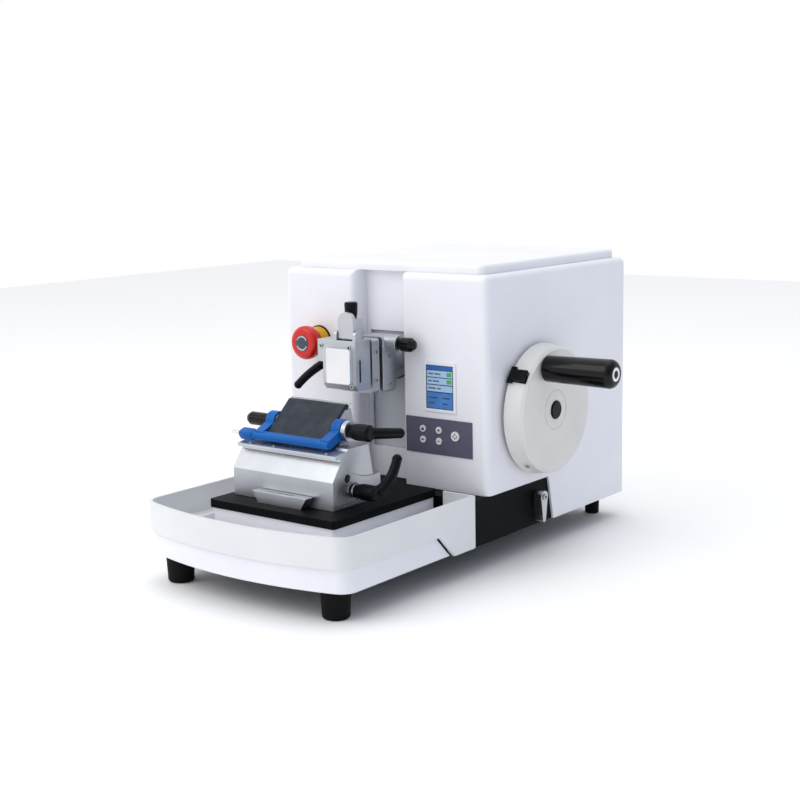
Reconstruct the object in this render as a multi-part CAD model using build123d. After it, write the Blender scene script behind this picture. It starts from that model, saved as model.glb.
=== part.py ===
from build123d import *
import math
import os

os.makedirs("parts", exist_ok=True)

# Rotary microtome. +X towards the handwheel, -Y towards the waste tray, +Z up, floor at z = 0.
# All lengths are in millimetres.

# Housing
house_right = 77.0
house_width = 257.5
house_front = -18.5
house_depth = 268.0
house_top = 288.0
house_wall = 3.0
house_corner = 7.5
house_top_round = 7.0
front_skirt_z = 74.0
rear_skirt_z = 27.7
slant_top_reach = 109.0
slant_bottom_reach = 118.5
lid_height = 9.0
lid_side_inset = 11.0
lid_front_inset = 10.0
lid_rear_inset = 5.0
lid_corner = 9.0
lid_round = 4.0
column_offset = 3.25
channel_width = 61.5
channel_depth = 20.0
channel_left_round = 7.0
channel_right_round = 2.5
slot_width = 54.0
slot_bottom = 105.0
slot_top = 226.0

# Base and feet
foot_height = 28.0
front_foot_radius = 14.0
front_foot_taper = 1.5
rear_foot_radius = 8.5
rear_foot_taper = 0.8
front_foot_side_inset = 29.0
front_foot_inset = 14.0
rear_foot_side_inset = 35.75
rear_foot_inset = 12.0
base_height = 45.7
base_corner = 7.5
base_reach = 21.0
base_cheek = 2.5
base_side_gap = 4.5
base_wall = 9.0
base_deck = 12.0
tongue_height = 20.0
tongue_side_inset = 15.5
tongue_front_inset = 4.0
tongue_corner = 14.0
shield_well_width = 72.0

# Waste tray and apron
tray_side_inset = 1.25
tray_shift = 0.25
tray_front_depth = 35.2
tray_bow = 19.0
tray_corner = 20.0
tray_wall = 3.0
tray_top = 80.0
tray_floor_z = 51.0
tray_lip = 9.0
trough_left_gap = 16.7
trough_right_gap = 9.3
trough_front_gap = 6.2
tray_slant_gap = 2.2
apron_inset = 4.0
apron_deck = 2.4
apron_gap = 0.3
slant_gap = 0.6

# Knife table
table_width = 157.0
table_centre_offset = 7.2
table_front_reach = 175.8
table_rear_reach = 21.5
table_thickness = 7.7
table_top = 81.0
pedestal_inset = 2.2
rail_top_width = 68.0
rail_bottom_width = 54.0
rail_height = 11.0
rail_front_reach = 160.0
rail_rear_reach = 78.0
rail_offset = 5.0

# Handwheel and crank
wheel_reach = 87.0
wheel_z = 149.0
wheel_gap = 4.0
wheel_width = 20.0
wheel_back_radius = 66.0
wheel_front_radius = 63.5
wheel_bevel = 3.0
wheel_rim = 7.0
wheel_web = 6.0
wheel_hub_radius = 18.0
hub_cap_radius = 9.2
grip_orbit = 49.2
grip_angle = 115.0
grip_length = 77.0
grip_base_radius = 13.0
grip_end_radius = 14.2
grip_bolt_radius = 4.0
shaft_radius = 9.0
shaft_fit = 0.05
crank_radius = 30.0
crank_pin_radius = 6.0
crank_disc_radius = 42.0
crank_disc_width = 10.0
crank_standoff = 21.0
crank_upright_gap = 5.0
lock_angle = 142.6
lock_width = 12.0
lock_lip_width = 17.6
lock_travel = 4.0
brake_reach = 86.5
brake_z = 58.0
brake_length = 23.5
brake_thickness = 9.0
brake_gap = 0.5

# Vertical slide
stroke = 60.0
quill_z = 198.0
quill_radius = 21.0
quill_length = 102.0
carriage_width = 58.0
carriage_depth = 74.0
carriage_height = 66.0
carriage_reach = 36.0
rail_section = 12.0
rail_gap = 0.3
upright_thickness = 12.0
shoe_size = 18.0
shoe_gap = 0.3
shoe_travel = 30.0
motor_size = 42.0
motor_length = 40.0
spindle_radius = 5.0
spindle_gap = 0.3
feed_travel = 28.0

# Specimen head
head_width = 45.0
head_base_front = 22.5
head_base_back = 2.0
swivel_front = 37.0
swivel_back = 26.0
clamp_front = 65.0
clamp_back = 42.0
clamp_top = 226.0
clamp_bottom = 177.0
pivot_pin_radius = 3.0
pivot_fit = 0.05
plate_width = 30.0
plate_height = 34.5
plate_thickness = 5.0
lever_plate_width = 19.0
lever_plate_height = 26.0
lever_plate_thickness = 4.6

# Knife holder
knife_width = 126.0
knife_front_reach = 149.0
knife_rear_reach = 79.6
knife_face_height = 27.0
edge_reach = 90.0
edge_z = 171.0
seat_radius = 66.0
seat_gap = 0.3
segment_top = 135.6
guide_height = 2.0
holder_lift = 0.4
knife_gap = 0.3
knife_angle = 42.0
holder_width = 71.0
pressure_length = 46.0
pressure_thickness = 4.0
blade_height = 8.0
blade_thickness = 0.3
axis_down_slope = 29.0
axis_below_slope = 3.6
guard_outer_radius = 30.0
guard_inner_radius = 21.6
guard_bar_height = 7.5
guard_angle = 203.0
guard_arm_width = 10.5
guard_ring = 2.3
guard_side_gap = 1.0
trunnion_radius = 8.0

# Controls
keypad_left_gap = 2.8
keypad_right_inset = 17.95
keypad_height = 36.0
keypad_centre_z = 127.5
keypad_thickness = 1.0
small_key_radius = 3.4
large_key_radius = 4.8
key_travel = 0.4
key_gap = 0.3
bezel_width = 39.5
bezel_height = 50.0
bezel_centre_inset = 56.3
bezel_centre_z = 177.0
bezel_border = 3.2
stop_inset = 46.5
stop_z = 213.5
stop_radius = 17.4
stop_cap_height = 11.0
stop_travel = 4.0

# Places that follow from the sizes above
house_left = house_right - house_width
house_rear = house_front + house_depth
house_x = house_right - house_width / 2
column_x = house_x - column_offset
base_bottom = foot_height
base_top = base_bottom + base_height
tongue_top = base_bottom + tongue_height
table_x = column_x + table_centre_offset
tray_x = house_x + tray_shift
tray_width = house_width - 2 * tray_side_inset
tray_corner_reach = table_front_reach + tray_front_depth
trough_x0 = table_x - table_width / 2 - trough_left_gap
trough_x1 = table_x + table_width / 2 + trough_right_gap
trough_y = house_front - table_front_reach - trough_front_gap
tongue_half = tray_width / 2 - tongue_side_inset
tongue_reach = tray_corner_reach - tongue_front_inset
channel_right = column_x + channel_width / 2
keypad_x0 = channel_right + keypad_left_gap
keypad_x1 = house_right - keypad_right_inset
keypad_x = (keypad_x0 + keypad_x1) / 2
stop_x = house_left + stop_inset
knife_x = column_x - 0.5
rail_x = column_x + rail_offset
wheel_y = house_front + wheel_reach
edge_y = house_front - edge_reach


def block(x0, x1, y0, y1, z0, z1):
    centre = Pos((x0 + x1) / 2, (y0 + y1) / 2, (z0 + z1) / 2)
    return centre * Box(x1 - x0, y1 - y0, z1 - z0)


def bar_x(radius, x0, x1, y, z):
    return Pos((x0 + x1) / 2, y, z) * Rot(0, 90, 0) * Cylinder(radius, x1 - x0)


def bar_y(radius, y0, y1, x, z):
    return Pos(x, (y0 + y1) / 2, z) * Rot(90, 0, 0) * Cylinder(radius, y1 - y0)


def bar_z(radius, z0, z1, x, y):
    return Pos(x, y, (z0 + z1) / 2) * Cylinder(radius, z1 - z0)


def outline(points):
    return make_face(Polyline(*points, close=True))


def along_x(face, x0, x1):
    """A profile drawn in Y and Z, carried along X."""
    return extrude(Plane.YZ.offset(x0) * face, amount=x1 - x0)


def along_y(face, y0, y1):
    """A profile drawn in X and Z, carried along Y."""
    return extrude(Plane.XZ.offset(-y1) * face, amount=y1 - y0)


def along_z(face, z0, z1):
    return extrude(Plane.XY.offset(z0) * face, amount=z1 - z0)


def turned_x(points, y, z):
    """A ring or disc about an X axis, from points of (x, radius)."""
    return Pos(0, y, z) * revolve(outline(points), axis=Axis.X)


def turned_y(points, x, z):
    """A ring or disc about a Y axis, from points of (radius, y)."""
    return Pos(x, 0, z) * revolve(outline(points), axis=Axis.Y)


def upright_edges(solid, radius):
    return fillet(solid.edges().filter_by(Axis.Z), radius)


def rounded_block(x0, x1, y0, y1, z0, z1, radius):
    return upright_edges(block(x0, x1, y0, y1, z0, z1), radius)


def tapered_arm(stations):
    """A round arm through (point, radius) stations, with a slightly larger ball at its tip."""
    faces = []
    last = len(stations) - 1
    for i, (point, radius) in enumerate(stations):
        before = Vector(*stations[max(i - 1, 0)][0])
        after = Vector(*stations[min(i + 1, last)][0])
        section = Plane(origin=point, z_dir=(after - before))
        faces.append(section * make_face(Edge.make_circle(radius)))
    tip, tip_radius = stations[-1]
    return loft(faces) + Pos(*tip) * Sphere(tip_radius * 1.04)


def clamping_lever(hub_x0, hub_x1, y, z, hub_radius, arm):
    """A clamping lever: a hub along X with a shoulder, and a tapered arm from its outer end."""
    step = (hub_x1 - hub_x0) * 0.3
    profile = [
        (hub_x0, 0),
        (hub_x0, hub_radius * 0.8),
        (hub_x0 + step, hub_radius),
        (hub_x1 - step * 0.3, hub_radius),
        (hub_x1, hub_radius * 0.75),
        (hub_x1, 0),
    ]
    if hub_x1 < hub_x0:
        profile.reverse()
    return turned_x(profile, y, z) + tapered_arm(arm)


# Housing shell, lid and what is set in its walls

def housing_block(inset, top):
    bottom = rear_skirt_z - inset
    solid = block(
        house_left + inset,
        house_right - inset,
        house_front + inset,
        house_rear - inset,
        bottom,
        top,
    )
    solid = upright_edges(solid, house_corner - inset)
    return fillet(solid.edges().group_by(Axis.Z)[-1], house_top_round - inset)


def channel_profile(inset):
    """The front channel in plan, grown by inset on its sides and its floor."""
    half = channel_width / 2 + inset
    mouth = house_front - 1
    floor = house_front + channel_depth + inset
    sketch = outline([
        (column_x - half, mouth),
        (column_x + half, mouth),
        (column_x + half, floor),
        (column_x - half, floor),
    ])
    if inset:
        return sketch
    left = column_x - half
    right = column_x + half
    corners = Pos(left, house_front) * Rectangle(
        2 * channel_left_round, 2 * channel_left_round
    ) - Pos(left - channel_left_round, house_front + channel_left_round) * Circle(channel_left_round)
    corners += Pos(right, house_front) * Rectangle(
        2 * channel_right_round, 2 * channel_right_round
    ) - Pos(right + channel_right_round, house_front + channel_right_round) * Circle(channel_right_round)
    flare = Pos((left + right) / 2, house_front) * Rectangle(
        channel_width + 2 * channel_left_round, 2 * channel_left_round
    )
    return sketch + (corners & flare)


def side_cut():
    """What the slanted front of the side walls leaves out, in Y and Z."""
    return outline([
        (house_front - 5, rear_skirt_z - 5),
        (house_front + slant_bottom_reach, rear_skirt_z - 5),
        (house_front + slant_bottom_reach, rear_skirt_z),
        (house_front + slant_top_reach, front_skirt_z),
        (house_front - 5, front_skirt_z),
    ])


def key_places():
    middle = keypad_centre_z
    return {
        "key_lock": (keypad_x - 18.9, middle + 6.8, small_key_radius),
        "key_back": (keypad_x - 18.9, middle - 4.2, small_key_radius),
        "key_plus": (keypad_x + 0.6, middle + 6.8, small_key_radius),
        "key_minus": (keypad_x + 0.6, middle - 4.2, small_key_radius),
        "key_menu": (keypad_x + 20.4, middle + 2.6, large_key_radius),
    }


def housing_shell():
    shell = housing_block(0, house_top)
    inside = housing_block(house_wall, house_top - house_wall)
    inside -= along_z(channel_profile(house_wall), 0, house_top)
    shell -= inside
    shell -= along_z(channel_profile(0), 0, house_top + 1)
    shell -= along_x(side_cut(), house_left - 1, house_right + 1)
    shell -= block(
        house_left + 30,
        house_right - 30,
        house_front + 60,
        house_rear - 30,
        house_top - house_wall - 1,
        house_top + 1,
    )
    shell -= block(
        column_x - slot_width / 2,
        column_x + slot_width / 2,
        house_front + channel_depth - 1,
        house_front + channel_depth + house_wall + 1,
        slot_bottom,
        slot_top,
    )
    shell -= bar_x(shaft_radius + 3, house_right - 5, house_right + 1, wheel_y, wheel_z)
    shell -= bar_y(
        stop_radius * 0.55,
        house_front - 1,
        house_front + house_wall + 1,
        stop_x,
        stop_z,
    )
    shell -= display_window(0.4, house_front - 1, house_front + house_wall + 1)
    for x, z, radius in key_places().values():
        shell -= bar_y(radius - 0.6, house_front - 1, house_front + house_wall + 1, x, z)
    shell -= inlet_opening(0.3)
    shell -= switch_opening(0.3)
    return shell


def housing_lid():
    solid = rounded_block(
        house_left + lid_side_inset,
        house_right - lid_side_inset,
        house_front + lid_front_inset,
        house_rear - lid_rear_inset,
        house_top,
        house_top + lid_height,
        lid_corner,
    )
    solid = fillet(solid.edges().group_by(Axis.Z)[-1], lid_round)
    hollow = block(
        house_left + 34,
        house_right - 34,
        house_front + 64,
        house_rear - 34,
        house_top - 1,
        house_top + lid_height - house_wall,
    )
    return solid - hollow


inlet_x = house_left + 60.0
inlet_z = 96.0
inlet_width = 27.0
inlet_height = 20.0
switch_x = inlet_x + 34.0
switch_width = 13.0
switch_height = 20.0
switch_swing = 10.0


def inlet_opening(gap):
    half_x = inlet_width / 2 + gap
    half_z = inlet_height / 2 + gap
    return block(inlet_x - half_x, inlet_x + half_x, house_rear - house_wall - 1, house_rear + 1,
                 inlet_z - half_z, inlet_z + half_z)


def switch_opening(gap):
    half_x = switch_width / 2 + gap
    half_z = switch_height / 2 + gap
    return block(switch_x - half_x, switch_x + half_x, house_rear - house_wall - 1, house_rear + 1,
                 inlet_z - half_z, inlet_z + half_z)


def power_inlet():
    """A three-blade appliance inlet, with the switch frame beside it."""
    flange = block(inlet_x - 19, switch_x + 11, house_rear, house_rear + 2.0, inlet_z - 14, inlet_z + 14)
    flange = fillet(flange.edges().filter_by(Axis.Y), 3)
    body = block(inlet_x - inlet_width / 2, inlet_x + inlet_width / 2, house_rear - 22, house_rear + 2.0,
                 inlet_z - inlet_height / 2, inlet_z + inlet_height / 2)
    body += block(switch_x - switch_width / 2, switch_x + switch_width / 2, house_rear - 22, house_rear + 2.0,
                  inlet_z - switch_height / 2, inlet_z + switch_height / 2)
    socket = block(inlet_x - 11.5, inlet_x + 11.5, house_rear - 15, house_rear + 3, inlet_z - 8, inlet_z + 8)
    socket = chamfer(socket.edges().filter_by(Axis.Y).group_by(Axis.Z)[-1], 4)
    rocker_well = block(switch_x - 5.0, switch_x + 5.0, house_rear - 8, house_rear + 3,
                        inlet_z - 8.5, inlet_z + 8.5)
    solid = flange + body - socket - rocker_well
    for shift in (-6.5, 0, 6.5):
        rise = 3 if shift == 0 else -1.5
        solid += block(inlet_x + shift - 1, inlet_x + shift + 1, house_rear - 15, house_rear - 2,
                       inlet_z + rise - 2, inlet_z + rise + 2)
    return solid


def power_switch():
    """A rocker that tips about an X axis just inside the flange."""
    pivot_y = house_rear - 2.0
    face = outline([
        (pivot_y - 3.5, inlet_z - 3),
        (pivot_y + 0.5, inlet_z - 7.6),
        (pivot_y + 5.2, inlet_z - 7.2),
        (pivot_y + 3.6, inlet_z),
        (pivot_y + 3.6, inlet_z + 7.2),
        (pivot_y + 0.5, inlet_z + 7.6),
        (pivot_y - 3.5, inlet_z + 3),
    ])
    return along_x(face, switch_x - 4.6, switch_x + 4.6)


# Base casting, feet, uprights

def base_casting():
    left = house_left + base_side_gap
    right = house_right - base_side_gap
    front = house_front - base_reach
    rear = house_rear - base_side_gap
    solid = rounded_block(left, right, front, rear, base_bottom, base_top, base_corner)
    cheek_profile = outline([
        (front, base_bottom),
        (house_front + slant_bottom_reach - slant_gap, base_bottom),
        (house_front + slant_top_reach - slant_gap, base_top),
        (front, base_top),
    ])
    solid += along_x(cheek_profile, left - base_cheek, left + 1)
    solid += along_x(cheek_profile, right - 1, right + base_cheek)
    tongue = block(
        tray_x - tongue_half,
        tray_x + tongue_half,
        house_front - tongue_reach,
        front + 5,
        base_bottom,
        tongue_top,
    )
    tongue = fillet(tongue.edges().filter_by(Axis.Z).group_by(Axis.Y)[0], tongue_corner)
    solid += tongue
    pocket_bottom = base_bottom - 1
    for side in (-1, 1):
        inner = column_x + side * (shield_well_width / 2 + base_wall)
        outer = left + base_wall if side < 0 else right - base_wall
        solid -= block(min(inner, outer), max(inner, outer), front + base_wall,
                       house_front + slant_top_reach - 20, pocket_bottom, base_top - base_deck)
    solid -= block(left + base_wall + 14, right - base_wall - 14, house_front + slant_top_reach,
                   rear - base_wall - 20, pocket_bottom, base_top - base_deck)
    solid -= block(tray_x - tongue_half + 32, tray_x + tongue_half - 32, house_front - tongue_reach + 45, front - 10,
                   pocket_bottom, tongue_top - 8)
    solid -= block(column_x - shield_well_width / 2, column_x + shield_well_width / 2,
                   house_front + channel_depth + 2, house_front + channel_depth + 11,
                   pocket_bottom, base_top + 1)
    solid -= bar_x(4.05, right - 40, right + base_cheek + 1, house_front + brake_reach, brake_z)
    return solid


def feet():
    solids = []
    for side in (-1, 1):
        x = tray_x - 1.25 + side * (tray_width / 2 - front_foot_side_inset)
        foot = Pos(x, house_front - tongue_reach + front_foot_inset, foot_height / 2) * Cone(
            front_foot_radius - front_foot_taper, front_foot_radius, foot_height
        )
        solids.append(fillet(foot.edges().group_by(Axis.Z)[0], 3))
        x = house_x + 1.15 + side * (house_width / 2 - rear_foot_side_inset)
        foot = Pos(x, house_rear - rear_foot_inset, foot_height / 2) * Cone(
            rear_foot_radius - rear_foot_taper, rear_foot_radius, foot_height
        )
        solids.append(fillet(foot.edges().group_by(Axis.Z)[0], 1.5))
    return Compound(solids)


upright_y0 = house_front + 30.0
upright_y1 = house_front + 130.0
left_upright_x = column_x - 46.0
left_upright_top = house_top - 30.0
yoke_x0 = column_x + carriage_width / 2
yoke_x1 = yoke_x0 + 8.0
crank_x = yoke_x1 + crank_standoff
right_upright_x = crank_x + crank_upright_gap + upright_thickness
right_upright_top = wheel_z + 41.0
screw_ys = (upright_y0 + 12, upright_y0 + 32, upright_y1 - 32, upright_y1 - 12)


def screw_holes(x):
    holes = [bar_z(3.0, base_top - 1, base_top + 11, x, y) for y in screw_ys]
    return Compound(holes)


def left_upright():
    """The plate that carries both linear rails, with a foot and a stiffening rib behind it."""
    x1 = left_upright_x
    x0 = x1 - upright_thickness
    solid = block(x0, x1, upright_y0, upright_y1, base_top, left_upright_top)
    solid += block(x0 - 22, x0, upright_y0, upright_y1, base_top, base_top + 10)
    rib = outline([
        (x0 - 20, base_top + 10),
        (x0, base_top + 10),
        (x0, left_upright_top - 18),
    ])
    solid += along_y(rib, (upright_y0 + upright_y1) / 2 - 5, (upright_y0 + upright_y1) / 2 + 5)
    return solid - screw_holes(x0 - 14)


def right_upright():
    """The plate with the long crankshaft bearing tube."""
    x1 = right_upright_x
    x0 = x1 - upright_thickness
    solid = block(x0, x1, upright_y0, upright_y1 + 15, base_top, right_upright_top)
    solid = fillet(solid.edges().filter_by(Axis.X).group_by(Axis.Z)[-1], 30)
    solid += block(x1, x1 + 18, upright_y0, upright_y1 + 15, base_top, base_top + 10)
    solid += bar_x(26, x0, house_right - 20, wheel_y, wheel_z)
    solid -= bar_x(16, x0 - 1, house_right - 19, wheel_y, wheel_z)
    return solid - screw_holes(x1 + 10)


def upright_screws():
    """Socket head screws through the feet of both uprights."""
    solids = []
    for x in (left_upright_x - upright_thickness - 14, right_upright_x + 10):
        for y in screw_ys:
            screw = bar_z(4.5, base_top + 10, base_top + 15, x, y) + bar_z(3, base_top, base_top + 10, x, y)
            socket = Pos(x, y, base_top + 12.5) * extrude(RegularPolygon(2.5, 6), amount=4)
            solids.append(screw - socket)
    return Compound(solids)


def shaft_bearings():
    rings = []
    for x0 in (right_upright_x - upright_thickness, house_right - 29):
        ring = bar_x(16, x0, x0 + 9, wheel_y, wheel_z)
        rings.append(ring - bar_x(shaft_radius + shaft_fit, x0 - 1, x0 + 10, wheel_y, wheel_z))
    return Compound(rings)


rail_ys = (house_front + 52.0, house_front + 96.0)
rail_front_x = left_upright_x + 8.0
rail_bottom = 95.0
rail_top = left_upright_top - 10.0


def guide_rails():
    half = rail_section / 2
    solids = []
    for y in rail_ys:
        rail = block(left_upright_x, rail_front_x, y - half, y + half, rail_bottom, rail_top)
        rail -= block(left_upright_x + 3, left_upright_x + 5, y - half - 1, y - half + 1.2,
                      rail_bottom - 1, rail_top + 1)
        rail -= block(left_upright_x + 3, left_upright_x + 5, y + half - 1.2, y + half + 1,
                      rail_bottom - 1, rail_top + 1)
        solids.append(rail)
    return Compound(solids)


# Vertical slide with its yoke, shield and feed drive

carriage_x0 = column_x - carriage_width / 2
carriage_x1 = column_x + carriage_width / 2
carriage_y0 = house_front + carriage_reach
carriage_y1 = carriage_y0 + carriage_depth
carriage_z0 = quill_z - carriage_height / 2 + 1
carriage_z1 = carriage_z0 + carriage_height
motor_y = carriage_y1 + 18.0
yoke_z = wheel_z + crank_radius


def cross_slot():
    """The yoke on the slide's right side, with the slot for the crank's shoe."""
    half = shoe_travel + shoe_size / 2 + 1
    solid = block(yoke_x0, yoke_x1, wheel_y - half - 6, wheel_y + half + 6, yoke_z - 16, yoke_z + 16)
    solid = fillet(solid.edges().filter_by(Axis.X), 5)
    slot_half = shoe_size / 2 + shoe_gap
    return solid - block(yoke_x0 - 1, yoke_x1 + 1, wheel_y - half, wheel_y + half,
                         yoke_z - slot_half, yoke_z + slot_half)


def slide_carriage():
    solid = block(carriage_x0, carriage_x1, carriage_y0, carriage_y1, carriage_z0, carriage_z1)
    solid = chamfer(solid.edges().filter_by(Axis.Y), 4)
    solid -= bar_y(quill_radius + shaft_fit, carriage_y0 - 1, carriage_y1 + 1, column_x, quill_z)
    half = motor_size / 2
    for sx in (-1, 1):
        for sz in (-1, 1):
            solid += bar_y(3.5, carriage_y1, motor_y - 4, column_x + sx * (half - 5), quill_z + sz * (half - 5))
    plate = block(column_x - half, column_x + half, motor_y - 4, motor_y, quill_z - half, quill_z + half)
    return solid + plate - bar_y(11, motor_y - 5, motor_y + 1, column_x, quill_z) + cross_slot()


def bearing_blocks():
    solids = []
    half = rail_section / 2
    for y in rail_ys:
        for z in (carriage_z0 + 4, carriage_z1 - 26):
            shoe = block(left_upright_x + 2, carriage_x0, y - 13, y + 13, z, z + 22)
            shoe -= block(left_upright_x + 1, rail_front_x + rail_gap, y - half - rail_gap, y + half + rail_gap,
                          z - 1, z + 23)
            solids.append(shoe)
    return Compound(solids)


def slot_shield():
    """The plate that closes the channel slot from behind and travels with the slide."""
    y0 = house_front + channel_depth + house_wall + 1.5
    plate = block(column_x - 33, column_x + 33, y0, y0 + 2, slot_bottom - 5, house_top - 5)
    for sx in (-1, 1):
        for sz in (-1, 1):
            plate += bar_y(3, y0 + 2, carriage_y0, column_x + sx * 23, quill_z + 1 + sz * 26)
    return plate - bar_y(quill_radius + 1, y0 - 1, y0 + 3, column_x, quill_z)


def yoke_shoe():
    half = shoe_size / 2
    solid = block(yoke_x0 + 0.5, yoke_x1, wheel_y - half, wheel_y + half, yoke_z - half, yoke_z + half)
    solid = chamfer(solid.edges().filter_by(Axis.X), 1.5)
    return solid - bar_x(crank_pin_radius + 0.05, yoke_x0, yoke_x1 + 1, wheel_y, yoke_z)


def feed_motor():
    half = motor_size / 2
    solid = block(column_x - half, column_x + half, motor_y, motor_y + motor_length, quill_z - half, quill_z + half)
    solid = chamfer(solid.edges().filter_by(Axis.Y), 4)
    return solid - bar_y(4, motor_y - 1, motor_y + 20, column_x, quill_z)


def feed_spindle():
    solid = bar_y(spindle_radius, carriage_y0 + 9, carriage_y1 + 3, column_x, quill_z)
    solid += bar_y(9, carriage_y1 + 3, motor_y - 1, column_x, quill_z)
    return solid + bar_y(2.5, motor_y - 1, motor_y + 15, column_x, quill_z)


quill_front = house_front - head_base_back
quill_rear = quill_front + quill_length


def feed_quill():
    solid = bar_y(quill_radius, quill_front, quill_rear, column_x, quill_z)
    solid = chamfer(solid.edges().group_by(Axis.Y)[-1], 1.5)
    bore_front = carriage_y0 + 9 - feed_travel - 5
    return solid - bar_y(spindle_radius + spindle_gap, bore_front, quill_rear + 1, column_x, quill_z)


# Specimen head

head_x0 = column_x - head_width / 2
head_x1 = column_x + head_width / 2
swivel_knob_y = house_front - 12.0
swivel_knob_z = 218.5
swivel_y = house_front - swivel_back - 1.5
swivel_half = head_width / 2 - 1.5
tilt_y = house_front - clamp_back - 2.0
post_x = column_x + 5.0
post_y = house_front - 48.5
lever_y = house_front - 60.5
lever_z = clamp_top + 5.0
lever_x = column_x + 9.5


def head_base():
    """The block on the quill's nose, with the swivel lug in front and the worm boss on the right."""
    y0 = house_front - head_base_front
    solid = block(head_x0, head_x1, y0, quill_front, quill_z - 28, quill_z + 28)
    solid = chamfer(solid.edges().filter_by(Axis.Y), 2.5)
    solid += bar_x(9, head_x1 - 8, head_x1 + 14, swivel_knob_y, swivel_knob_z)
    solid += block(column_x - 7, column_x + 7, swivel_y - 4, y0, quill_z - 10, quill_z + 10)
    solid -= bar_x(3.05, head_x1 - 2, head_x1 + 15, swivel_knob_y, swivel_knob_z)
    solid -= bar_x(4.05, head_x0 - 1, head_x0 + 8, swivel_knob_y - 2, quill_z + 7)
    return solid - bar_z(pivot_pin_radius + pivot_fit, quill_z - 11, quill_z + 11, column_x, swivel_y)


def swivel_block():
    """The middle block: it swivels on a vertical pin and carries the tilt lug."""
    y0 = house_front - swivel_front
    y1 = house_front - swivel_back
    solid = block(column_x - swivel_half, column_x + swivel_half, y0, y1, quill_z - 27, quill_z + 27)
    solid = chamfer(solid.edges().filter_by(Axis.Y), 2)
    solid -= block(column_x - 9.5, column_x + 9.5, swivel_y - 6.5, y1 + 1, quill_z - 10.5, quill_z + 10.5)
    solid += bar_z(pivot_pin_radius, quill_z - 12, quill_z + 12, column_x, swivel_y)
    solid += block(column_x - 8, column_x + 8, tilt_y - 3.5, y0, quill_z - 8, quill_z + 8)
    return solid - bar_x(pivot_pin_radius + pivot_fit, column_x - 9, column_x + 9, tilt_y, quill_z)


def specimen_clamp():
    """The front clamp: it tilts on a cross pin and holds the plate, the lever ears and the knob post."""
    y0 = house_front - clamp_front
    y1 = house_front - clamp_back
    face = outline([
        (column_x - 25, clamp_top),
        (column_x + 22.5, clamp_top),
        (column_x + 22.5, clamp_bottom),
        (column_x - 18.5, clamp_bottom),
        (column_x - 18.5, clamp_top - 22),
        (column_x - 25, clamp_top - 22),
    ])
    solid = along_y(face, y0, y1)
    nose = outline([(y0 - 1, clamp_bottom - 1), (y0 + 5, clamp_bottom - 1), (y0 - 1, clamp_bottom + 7)])
    solid -= along_x(nose, column_x - 30, column_x + 30)
    solid -= block(column_x + 16, column_x + 23, y0 + 6, y0 + 9, clamp_bottom + 8, clamp_bottom + 30)
    solid -= block(column_x - 10.5, column_x + 10.5, tilt_y - 6, y1 + 1, quill_z - 12, quill_z + 12)
    solid += bar_x(pivot_pin_radius, column_x - 12, column_x + 12, tilt_y, quill_z)
    solid += block(post_x - 10, post_x + 10, post_y - 6, post_y + 6, clamp_top, clamp_top + 20)
    for side in (-1, 1):
        x = lever_x + side * (lever_plate_width / 2 + 2.4)
        ear = block(x - 1.8, x + 1.8, lever_y - 4.5, lever_y + 4.5, clamp_top, lever_z)
        solid += ear + bar_x(4.5, x - 1.8, x + 1.8, lever_y, lever_z)
    reach = lever_plate_width / 2 + 3
    solid += bar_x(1.6, lever_x - reach, lever_x + reach, lever_y, lever_z)
    return solid - bar_z(3.05, clamp_top + 8, clamp_top + 21, post_x, post_y)


def cassette_plate():
    y1 = house_front - clamp_front
    x = column_x + 4.5
    z0 = clamp_bottom + 7
    solid = block(x - plate_width / 2, x + plate_width / 2, y1 - plate_thickness, y1, z0, z0 + plate_height)
    return chamfer(solid.edges().filter_by(Axis.Y), 1.5)


def cassette_lever():
    """The round-topped clamp lever, on a cross pin between two ears."""
    half = lever_plate_width / 2
    thick = lever_plate_thickness / 2
    base = lever_z - 3.2
    top = clamp_top + 1.5 + lever_plate_height
    plate = block(lever_x - half, lever_x + half, lever_y - thick, lever_y + thick, base, top - half)
    plate += bar_y(half, lever_y - thick, lever_y + thick, lever_x, top - half)
    return plate - bar_x(1.65, lever_x - half - 1, lever_x + half + 1, lever_y, lever_z)


def tilt_knob():
    z0 = clamp_top + 20.5
    profile = [(0, z0), (5.4, z0), (6.2, z0 + 4), (6.6, z0 + 14), (5.6, z0 + 15.5), (0, z0 + 15.5)]
    knob = revolve(Plane.XZ * outline(profile), axis=Axis.Z)
    knob = Pos(post_x, post_y, 0) * knob
    return knob + bar_z(3.0, z0 - 12, z0, post_x, post_y)


def swivel_knob():
    x0 = head_x1 + 14.5
    profile = [(x0, 0), (x0, 5.5), (x0 + 3, 7), (x0 + 13, 7), (x0 + 17, 4.5), (x0 + 18.5, 0)]
    knob = turned_x(profile, swivel_knob_y, swivel_knob_z)
    return knob + bar_x(3.0, x0 - 15, x0, swivel_knob_y, swivel_knob_z)


def orientation_lever():
    y = swivel_knob_y - 2
    z = quill_z + 7
    x0 = head_x0 - 0.5
    arm = [
        ((x0 - 7, y - 2, z), 5.0),
        ((x0 - 13, y - 22, z - 5), 4.6),
        ((x0 - 18, y - 43, z - 14), 4.2),
        ((x0 - 21, y - 60, z - 25), 4.0),
    ]
    profile = [(x0, 0), (x0 - 11, 0), (x0 - 12, 4.5), (x0 - 9, 7), (x0 - 3, 7), (x0, 5.5)]
    return turned_x(profile, y, z) + tapered_arm(arm) + bar_x(4.0, x0, x0 + 7.5, y, z)


# Knife table, holder and guard

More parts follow.
